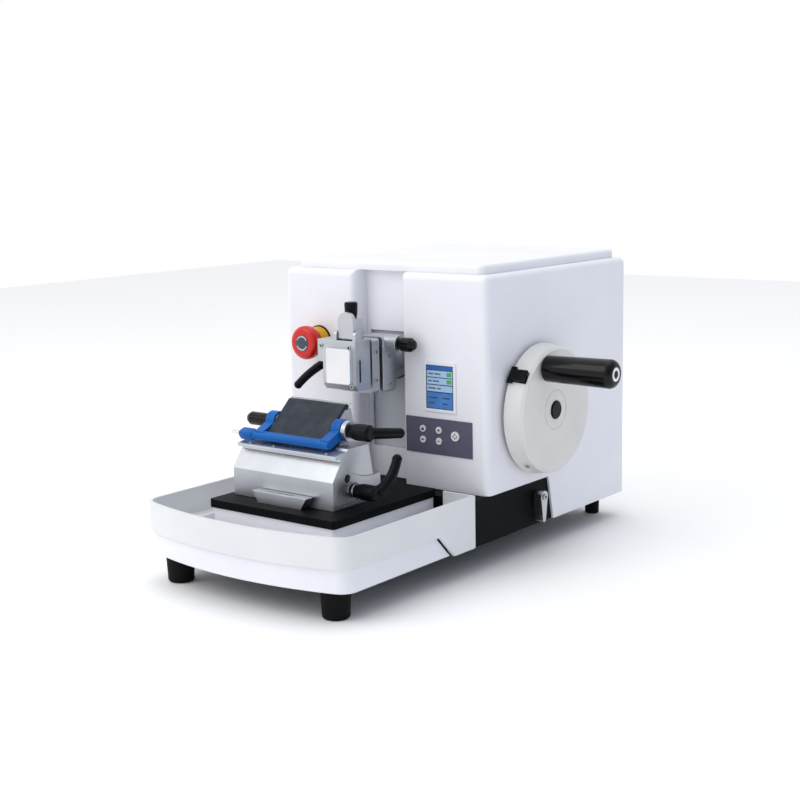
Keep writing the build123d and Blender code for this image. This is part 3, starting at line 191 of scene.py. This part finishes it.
nodeFinish = {
    "powderCoat": ["housing_shell", "front_apron", "table_pedestal", "display_bezel"],
    "wheelEnamel": ["handwheel"],
    "lidCoatPaintedLight": ["housing_lid"],
    "trayAbsPaintedShade": ["waste_tray"],
    "castingPaint": ["base_casting", "knife_table", "upright_screws"],
    "footRubber": ["feet"],
    "leverNylon": ["hub_cap", "rim_lock", "tilt_knob", "orientation_lever", "base_lever", "blade_lever",
                   "power_inlet", "power_switch", "feed_motor"],
    "gripPhenolic": ["handle_grip", "shift_knob", "swivel_knob"],
    "anodisedAluminium": ["head_base", "swivel_block", "specimen_clamp", "cassette_lever", "knife_base",
                          "angle_segment", "holder_body", "table_rail", "power_supply"],
    "lappedAluminium": ["cassette_plate"],
    "turnedSteel": ["grip_bolt", "brake_lever", "blade", "feed_quill", "feed_spindle", "guide_rails",
                    "bearing_blocks", "shaft_bearings", "yoke_shoe"],
    "blackenedSteel": ["pressure_plate", "crankshaft"],
    "castIron": ["left_upright", "right_upright", "slide_carriage"],
    "guardNylon": ["blade_guard"],
    "keypadFilm": ["keypad_panel"],
    "redAbs": ["estop_button"],
    "yellowAbs": ["estop_collar"],
    "keyAbs": ["key_lock", "key_back", "key_plus", "key_minus", "key_menu"],
    "circuitBoard": ["front_board", "main_board"],
    "displayGlass": ["display_glass"],
    "shieldPaint": ["slot_shield"],
}


def dress(obj, material):
    obj.data.materials.clear()
    obj.data.materials.append(material)


for finishName, members in nodeFinish.items():
    for member in members:
        dress(nodes[member], finishes[finishName])
print("finishes on the nodes")

# The pieces below lie over the solids. They are drawn in millimetres in the part's own frame.

sharpCorner = 35  # degrees; a flatter corner is shaded smooth


def finishPiece(name, work, finish, body):
    bmesh.ops.remove_doubles(work, verts=work.verts, dist=0.00001)
    bmesh.ops.recalc_face_normals(work, faces=work.faces)
    bmesh.ops.scale(work, vec=(millimetre, millimetre, millimetre), verts=work.verts)
    mesh = bpy.data.meshes.new(name)
    work.to_mesh(mesh)
    work.free()
    piece = bpy.data.objects.new(name, mesh)
    bpy.context.scene.collection.objects.link(piece)
    mesh.shade_smooth()
    mesh.set_sharp_from_angle(angle=math.radians(sharpCorner))
    dress(piece, finishes[finish])
    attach(piece, body)


# The profile's points are pairs of a place along the axis and a radius.
def turn(work, profile, centre, axis, steps=40):
    axis = Vector(axis)
    aside = Vector((1, 0, 0)) if abs(axis.z) > 0.9 else Vector((0, 0, 1))
    aside = (aside - axis * aside.dot(axis)).normalized()
    verts = [work.verts.new(Vector(centre) + axis * along + aside * radius) for along, radius in profile]
    edges = [work.edges.new((verts[i], verts[(i + 1) % len(verts)])) for i in range(len(verts))]
    bmesh.ops.spin(work, geom=verts + edges, cent=centre, axis=axis, angle=2 * math.pi, steps=steps,
                   use_merge=True)


def box(work, x, y, z, soft=0.0):
    size = (x[1] - x[0], y[1] - y[0], z[1] - z[0])
    middle = ((x[0] + x[1]) / 2, (y[0] + y[1]) / 2, (z[0] + z[1]) / 2)
    placed = Matrix.Translation(middle) @ Matrix.Diagonal((*size, 1))
    made = bmesh.ops.create_cube(work, size=1, matrix=placed)
    if soft:
        edges = list({edge for vert in made["verts"] for edge in vert.link_edges})
        bmesh.ops.bevel(work, geom=edges, offset=soft, affect="EDGES", segments=3, profile=0.5, material=-1,
                        clamp_overlap=True)


# An outline of x and z points becomes a plate between two places on y.
def plate(work, outline, near, far):
    face = work.faces.new([work.verts.new((x, near, z)) for x, z in outline])
    made = bmesh.ops.extrude_face_region(work, geom=[face])
    moved = [item for item in made["geom"] if isinstance(item, bmesh.types.BMVert)]
    bmesh.ops.translate(work, vec=(0, far - near, 0), verts=moved)


def arc(centre, inner, outer, start, end, count=16):
    angles = [math.radians(start + (end - start) * i / count) for i in range(count + 1)]
    steps = [(outer, a) for a in angles] + [(inner, a) for a in reversed(angles)]
    return [(centre[0] + radius * math.cos(a), centre[1] + radius * math.sin(a)) for radius, a in steps]


def obround(centre, length, width, count=14):
    radius = width / 2
    reach = length / 2 - radius
    points = []
    for side, start in ((1, -90), (-1, 90)):
        for i in range(count + 1):
            angle = math.radians(start + 180 * i / count)
            points.append((centre[0] + side * reach + radius * math.cos(angle),
                           centre[1] + radius * math.sin(angle)))
    return points


# The chamfer is in millimetres and otherwise these are shares: of the ring's length, and of the disc's
# height and radius.
roundShape = {"chamfer": 0.25, "chamferShare": 0.3, "shoulder": 0.7, "top": 0.94}


def ring(name, centre, axis, span, radii, finish, body):
    work = bmesh.new()
    low, high = span
    inner, outer = radii
    soft = min(roundShape["chamfer"], (high - low) * roundShape["chamferShare"])
    profile = [(low, inner), (high, inner), (high, outer - soft), (high - soft, outer), (low, outer)]
    turn(work, profile, centre, axis)
    finishPiece(name, work, finish, body)


def disc(name, centre, axis, height, radius, finish, body):
    work = bmesh.new()
    shoulder, top = height * roundShape["shoulder"], radius * roundShape["top"]
    turn(work, [(0, 0), (0, radius), (shoulder, radius), (height, top), (height, 0)], centre, axis)
    finishPiece(name, work, finish, body)


# A socket screw is a low head with a softened rim; a dark disc in its socket is painted shade for the
# hollow.
# The height, bore and socket are shares of the head's radius, and the socket's floor is a share of the
# head's height.
screwShape = {"height": 0.5, "bore": 0.5, "socket": 0.52, "floor": 0.35, "socketSides": 6}


def screw(name, centre, axis, radius, body):
    height = radius * screwShape["height"]
    ring(name, centre, axis, (0, height), (radius * screwShape["bore"], radius), "turnedSteel", body)
    # The dark disc that fills the socket is painted shade for the hollow.
    work = bmesh.new()
    floor = height * screwShape["floor"]
    socket = radius * screwShape["socket"]
    turn(work, [(0, 0), (0, socket), (floor, socket), (floor, 0)], centre, axis, screwShape["socketSides"])
    finishPiece(name + "SocketShade", work, "printInkAndShade", body)


display = {
    "face": -19.2,
    "areas": (  # name, x, z, thickness, finish
        ("screenHeader", (4.7, 36.7), (194.4, 198.3), 0.1, "litHeader"),
        ("screenRowOne", (5.3, 36.1), (187.0, 193.3), 0.1, "litRow"),
        ("screenRowTwo", (5.3, 36.1), (179.8, 186.1), 0.1, "litRow"),
        ("screenRowThree", (5.3, 36.1), (172.6, 178.9), 0.1, "litRow"),
        ("screenLower", (5.3, 36.1), (156.0, 171.6), 0.1, "litField"),
        ("screenBlockOne", (29.2, 35.2), (188.2, 192.2), 0.2, "litBlock"),
        ("screenBlockTwo", (29.2, 35.2), (181.0, 185.0), 0.2, "litBlock"),
    ),
    "barThickness": 0.16,
    "barHeight": 1.2,
    "bars": (  # height of the line, then the x spans of its bars
        (190.2, (7, 13), (14.5, 22)),
        (183.0, (7, 11), (12.5, 20)),
        (175.8, (7, 16), (18, 22)),
        (166.5, (7, 18), (24, 33)),
        (161.0, (7, 14), (24, 30)),
    ),
}


def displayContent():
    face = display["face"]
    for name, x, z, thickness, finish in display["areas"]:
        work = bmesh.new()
        box(work, x, (face - thickness, face), z)
        finishPiece(name, work, finish, "frame")
    work = bmesh.new()
    half = display["barHeight"] / 2
    for z, *spans in display["bars"]:
        for span in spans:
            box(work, span, (face - display["barThickness"], face), (z - half, z + half))
    finishPiece("screenText", work, "slateInsert", "frame")


keyPrint = {
    "y": (-20.62, -20.5),
    "leftKeys": -0.1,
    "middleKeys": 19.4,
    "upperKeys": 134.3,
    "lowerKeys": 123.3,
    "menuKey": (39.2, 130.1),
    "padlock": {"halfWidth": 1.5, "bottom": -1.7, "top": 0.4, "shackle": (0.7, 1.15)},
    "arrow": {"tip": -1.9, "neck": -0.2, "end": 1.8, "head": 1.5, "shaft": 0.5},
    "sign": {"reach": 1.7, "half": 0.4},
    "pointer": {"tip": 3.2, "foot": 1.5, "half": 1.1},
}


def keyIcon(name, body, centre, outlines):
    work = bmesh.new()
    for outline in outlines:
        plate(work, [(centre[0] + x, centre[1] + z) for x, z in outline], *keyPrint["y"])
    finishPiece(name, work, "printInkAndShade", body)


# The same points four times, a quarter turn apart.
def fourWays(points):
    quarters = ((1, 0), (0, 1), (-1, 0), (0, -1))  # cosine and sine
    return [[(x * c - z * s, x * s + z * c) for x, z in points] for c, s in quarters]


def keyIcons():
    left, middle = keyPrint["leftKeys"], keyPrint["middleKeys"]
    upper, lower = keyPrint["upperKeys"], keyPrint["lowerKeys"]
    lock, arrow, sign, pointer = (keyPrint[part] for part in ("padlock", "arrow", "sign", "pointer"))
    side, bottom, top = lock["halfWidth"], lock["bottom"], lock["top"]
    lockBody = [(-side, bottom), (side, bottom), (side, top), (-side, top)]
    keyIcon("markLock", "lock_button", (left, upper), [lockBody, arc((0, top), *lock["shackle"], 0, 180)])
    neck, end, head, shaft = arrow["neck"], arrow["end"], arrow["head"], arrow["shaft"]
    keyIcon("markBack", "back_button", (left, lower),
            [[(arrow["tip"], 0), (neck, head), (neck, shaft), (end, shaft), (end, -shaft), (neck, -shaft),
              (neck, -head)]])
    reach, half = sign["reach"], sign["half"]
    arms = fourWays([(reach, -half), (reach, half), (half, half)])
    keyIcon("markPlus", "plus_button", (middle, upper), [[point for arm in arms for point in arm]])
    keyIcon("markMinus", "minus_button", (middle, lower),
            [[(-reach, -half), (reach, -half), (reach, half), (-reach, half)]])
    tip, foot, half = pointer["tip"], pointer["foot"], pointer["half"]
    pointers = fourWays([(tip, 0), (foot, half), (foot, -half)])
    keyIcon("markMenu", "menu_button", keyPrint["menuKey"], pointers)


stopBadge = {
    "centre": (-134.0, 213.5),
    "hub": {"y": -46.4, "height": 0.5, "radius": 8.3},
    "arcs": {"y": (-47.1, -46.85), "radii": (6.2, 7.5), "starts": (25, 205), "sweep": 130},
    "gasket": {"y": -18.5, "height": 1.5, "radii": (14.7, 15.8)},
}


def stopButtonBadge():
    x, z = stopBadge["centre"]
    towardsUser = (0, -1, 0)
    hub, arcs, gasket = stopBadge["hub"], stopBadge["arcs"], stopBadge["gasket"]
    disc("stopHub", (x, hub["y"], z), towardsUser, hub["height"], hub["radius"], "slateInsert",
         "stop_button")
    for name, start in zip(("stopArcUpper", "stopArcLower"), arcs["starts"]):
        work = bmesh.new()
        plate(work, arc((x, z), *arcs["radii"], start, start + arcs["sweep"]), *arcs["y"])
        finishPiece(name, work, "turnedSteel", "stop_button")
    ring("stopGasket", (x, gasket["y"], z), towardsUser, (0, gasket["height"]), gasket["radii"],
         "footRubber", "frame")


wheelTrim = {
    "centre": (68.5, 149.0),
    "faceRing": {"x": (99.35, 99.55), "radii": (19.0, 20.2)},
    "rimScrew": {"x": 91.5, "angle": 232, "seat": 64.6, "radius": 2.6},
    "gripCentre": (47.71, 193.59),
    "gripRing": {"x": (178.5, 179.1), "radii": (3.9, 6.95)},
    "gripSocketShade": {"x": 178.45, "height": 0.2},
    "brakeScrew": {"centre": (86.5, 68.0, 58.0), "radius": 3.2},
}


def wheelAndBrakeTrim():
    outwards = (1, 0, 0)
    y, z = wheelTrim["gripCentre"]
    gripRing, gripSocketShade = wheelTrim["gripRing"], wheelTrim["gripSocketShade"]
    ring("gripRing", (0, y, z), outwards, gripRing["x"], gripRing["radii"], "lappedAluminium", "wheel")
    # A dark disc inside the grip bolt's ring is painted shade for its socket.
    disc("gripSocketShade", (gripSocketShade["x"], y, z), outwards, gripSocketShade["height"], gripRing["radii"][0],
         "printInkAndShade", "wheel")
    y, z = wheelTrim["centre"]
    faceRing, rimScrew, brakeScrew = wheelTrim["faceRing"], wheelTrim["rimScrew"], wheelTrim["brakeScrew"]
    ring("faceRing", (0, y, z), outwards, faceRing["x"], faceRing["radii"], "wheelEnamel", "wheel")
    angle = math.radians(rimScrew["angle"])
    radial = (0, math.cos(angle), math.sin(angle))
    seat = (rimScrew["x"], y + rimScrew["seat"] * radial[1], z + rimScrew["seat"] * radial[2])
    screw("rimScrew", seat, radial, rimScrew["radius"], "wheel")
    screw("brakeScrew", brakeScrew["centre"], outwards, brakeScrew["radius"], "brake")


headScrews = {
    "radius": 2.3,
    "clampFace": -83.5,
    "clamp": ((-75.4, 219.5), (-39.8, 219.5), (-36.6, 181.5)),
    "swivelSide": (-34.0, -50.0),
    "swivelHeights": (212, 184),
    "baseSide": (-32.5, -31.0),
    "baseHeights": (206, 178),
}


def specimenHeadScrews():
    radius = headScrews["radius"]
    for i, (x, z) in enumerate(headScrews["clamp"]):
        screw(f"clampScrew{i}", (x, headScrews["clampFace"], z), (0, -1, 0), radius, "clamp")
    for i, (upper, lower) in enumerate(zip(headScrews["swivelHeights"], headScrews["baseHeights"])):
        screw(f"swivelScrew{i}", (*headScrews["swivelSide"], upper), (1, 0, 0), radius, "swivel")
        screw(f"headScrew{i}", (*headScrews["baseSide"], lower), (1, 0, 0), radius, "quill")


knifeTrim = {
    "hole": {"centre": (3.5, -146.5, 108.0), "height": 0.3, "radius": 4.1},
    "collar": {"centre": (0, -135.5, 95.0), "x": (8.0, 9.4), "radii": (6.42, 7.0)},
    "padShadeLine": {"x": 6.38, "centre": (-144.5, 93.5), "length": 34, "width": 19, "line": 0.5},
    "railSlitShade": ((-68, -34), (-174.4, -173.4), (91.9, 92.08)),
    "ledgeSlotShade": {"x": (-92, -56), "y": (-155.9, -154.3), "z": (132.0, 132.55), "soft": 0.2,
                  "pivot": (0, -155.1, 132.3), "slope": 10.4},
    "ledgeScrews": {"x": (-104, -74, -8), "y": -157.5, "z": 131.9, "normal": (0, -0.18, 0.984),
                    "radius": 1.4},
}


def knifeHolderTrim():
    hole, collar, pad = knifeTrim["hole"], knifeTrim["collar"], knifeTrim["padShadeLine"]
    # A dark disc at the bottom of the side hole is painted shade.
    disc("baseHoleShade", hole["centre"], (1, 0, 0), hole["height"], hole["radius"], "printInkAndShade", "knife_slide")
    ring("leverCollar", collar["centre"], (1, 0, 0), collar["x"], collar["radii"], "lappedAluminium",
         "base_clamp")
    # A dark line round the pad's recess is painted shade along its edge.
    work = bmesh.new()
    outlines = [obround(pad["centre"], pad["length"] - 2 * inset, pad["width"] - 2 * inset)
                for inset in (0, pad["line"])]
    outer, inner = [[work.verts.new((pad["x"], y, z)) for y, z in outline] for outline in outlines]
    for i in range(len(outer)):
        j = (i + 1) % len(outer)
        work.faces.new((outer[i], outer[j], inner[j], inner[i]))
    finishPiece("padShadeLine", work, "printInkAndShade", "knife_slide")
    # A thin dark box on the rail's nose is painted shade for its slit.
    work = bmesh.new()
    box(work, *knifeTrim["railSlitShade"])
    finishPiece("railSlitShade", work, "printInkAndShade", "frame")
    # A dark box along the ledge is painted shade for its slot.
    work = bmesh.new()
    slot = knifeTrim["ledgeSlotShade"]
    box(work, slot["x"], slot["y"], slot["z"], slot["soft"])
    bmesh.ops.rotate(work, verts=work.verts, cent=slot["pivot"],
                     matrix=Matrix.Rotation(math.radians(slot["slope"]), 3, "X"))
    finishPiece("ledgeSlotShade", work, "printInkAndShade", "angle_carrier")
    screws = knifeTrim["ledgeScrews"]
    for i, x in enumerate(screws["x"]):
        place = (x, screws["y"], screws["z"])
        screw(f"ledgeScrew{i}", place, screws["normal"], screws["radius"], "angle_carrier")


guardBar = {
    "axis": (-151.39, 138.84),
    "lean": 23,
    "block": {"x": (-120.8, -104.5), "halfDepth": 4.7, "halfHeight": 4.3, "soft": 1.0},
    "pin": {"x": (-133.6, -121.4), "radius": 1.95, "tipRadius": 1.5, "tipLength": 0.4,
            "sides": 24},
}


def guardBlockAndPin():
    y, z = guardBar["axis"]
    block, pin = guardBar["block"], guardBar["pin"]
    work = bmesh.new()
    box(work, block["x"], (y - block["halfDepth"], y + block["halfDepth"]),
        (z - block["halfHeight"], z + block["halfHeight"]), block["soft"])
    bmesh.ops.rotate(work, verts=work.verts, cent=(0, y, z),
                     matrix=Matrix.Rotation(math.radians(guardBar["lean"]), 3, "X"))
    finishPiece("guardBlock", work, "guardNylon", "guard")
    work = bmesh.new()
    (tip, root), radius = pin["x"], pin["radius"]
    shoulder = tip + pin["tipLength"]
    profile = [(tip, 0), (tip, pin["tipRadius"]), (shoulder, radius), (root, radius), (root, 0)]
    turn(work, profile, (0, y, z), (1, 0, 0), pin["sides"])
    finishPiece("guardPin", work, "lappedAluminium", "guard")


displayContent()
keyIcons()
stopButtonBadge()
wheelAndBrakeTrim()
specimenHeadScrews()
knifeHolderTrim()
guardBlockAndPin()
print("detail pieces made")

studioSet = {
    "floorSize": 6,
    "floorColour": "FFFFFF",
    # The sky is dimmer and bluer on the handwheel's side, which shades that wall.
    "sky": ((0.05, "FFFFFF"), (0.85, "A9B4C6")),
    "skyStrength": 1.0,
    "aim": (0, 0, 0.15),
    "lights": (  # name, place, size, power
        ("key", (-0.9, -1.6, 1.7), 1.6, 14),
        ("top", (0.2, 0.3, 2.2), 1.8, 8),
    ),
}


def studio():
    bpy.ops.mesh.primitive_plane_add(size=studioSet["floorSize"])
    floor = bpy.context.object
    floor.name = "floor"
    material, tree = newTree("floorPaper")
    shader = addNode(tree, "ShaderNodeBsdfPrincipled",
                     {"Base Color": colour(studioSet["floorColour"]), "Roughness": 0.9})
    addNode(tree, "ShaderNodeOutputMaterial", {}, {"Surface": shader.outputs["BSDF"]})
    dress(floor, material)
    world = bpy.data.worlds.new("studio")
    world.use_nodes = True
    tree = world.node_tree
    background = tree.nodes["Background"]
    place = addNode(tree, "ShaderNodeTexCoord")
    direction = addNode(tree, "ShaderNodeSeparateXYZ", {}, {"Vector": place.outputs["Generated"]})
    sky = addNode(tree, "ShaderNodeValToRGB", {}, {"Fac": direction.outputs["X"]}, studioSet["sky"])
    tree.links.new(sky.outputs["Color"], background.inputs["Color"])
    background.inputs["Strength"].default_value = studioSet["skyStrength"]
    bpy.context.scene.world = world
    for name, place, size, power in studioSet["lights"]:
        light = bpy.data.objects.new(name, bpy.data.lights.new(name, "AREA"))
        light.data.size = size
        light.data.energy = power
        light.location = place
        towards = Vector(studioSet["aim"]) - Vector(place)
        light.rotation_euler = towards.to_track_quat("-Z", "Y").to_euler()
        bpy.context.scene.collection.objects.link(light)


photoView = {"place": (0.8369, -1.1223, 0.4030), "yaw": 38.13, "pitch": 9.83, "roll": -1.08, "lens": 63.87,
             "sensor": 36}


def photoCamera():
    yaw, pitch, roll = (math.radians(photoView[turned]) for turned in ("yaw", "pitch", "roll"))
    forward = Vector((-math.sin(yaw) * math.cos(pitch), math.cos(yaw) * math.cos(pitch), -math.sin(pitch)))
    right = Vector((math.cos(yaw), math.sin(yaw), 0))
    up = right.cross(forward)
    turnedRight = math.cos(roll) * right + math.sin(roll) * up
    turnedUp = -math.sin(roll) * right + math.cos(roll) * up
    camera = bpy.data.objects.new("camera", bpy.data.cameras.new("camera"))
    camera.matrix_world = Matrix.Translation(photoView["place"]) @ Matrix(
        (turnedRight, turnedUp, -forward)).transposed().to_4x4()
    camera.data.lens = photoView["lens"]
    camera.data.sensor_width = photoView["sensor"]
    bpy.context.scene.collection.objects.link(camera)
    bpy.context.scene.camera = camera


studio()
photoCamera()
print("floor, lights and camera ready")
bpy.context.scene.view_settings.view_transform = "Standard"
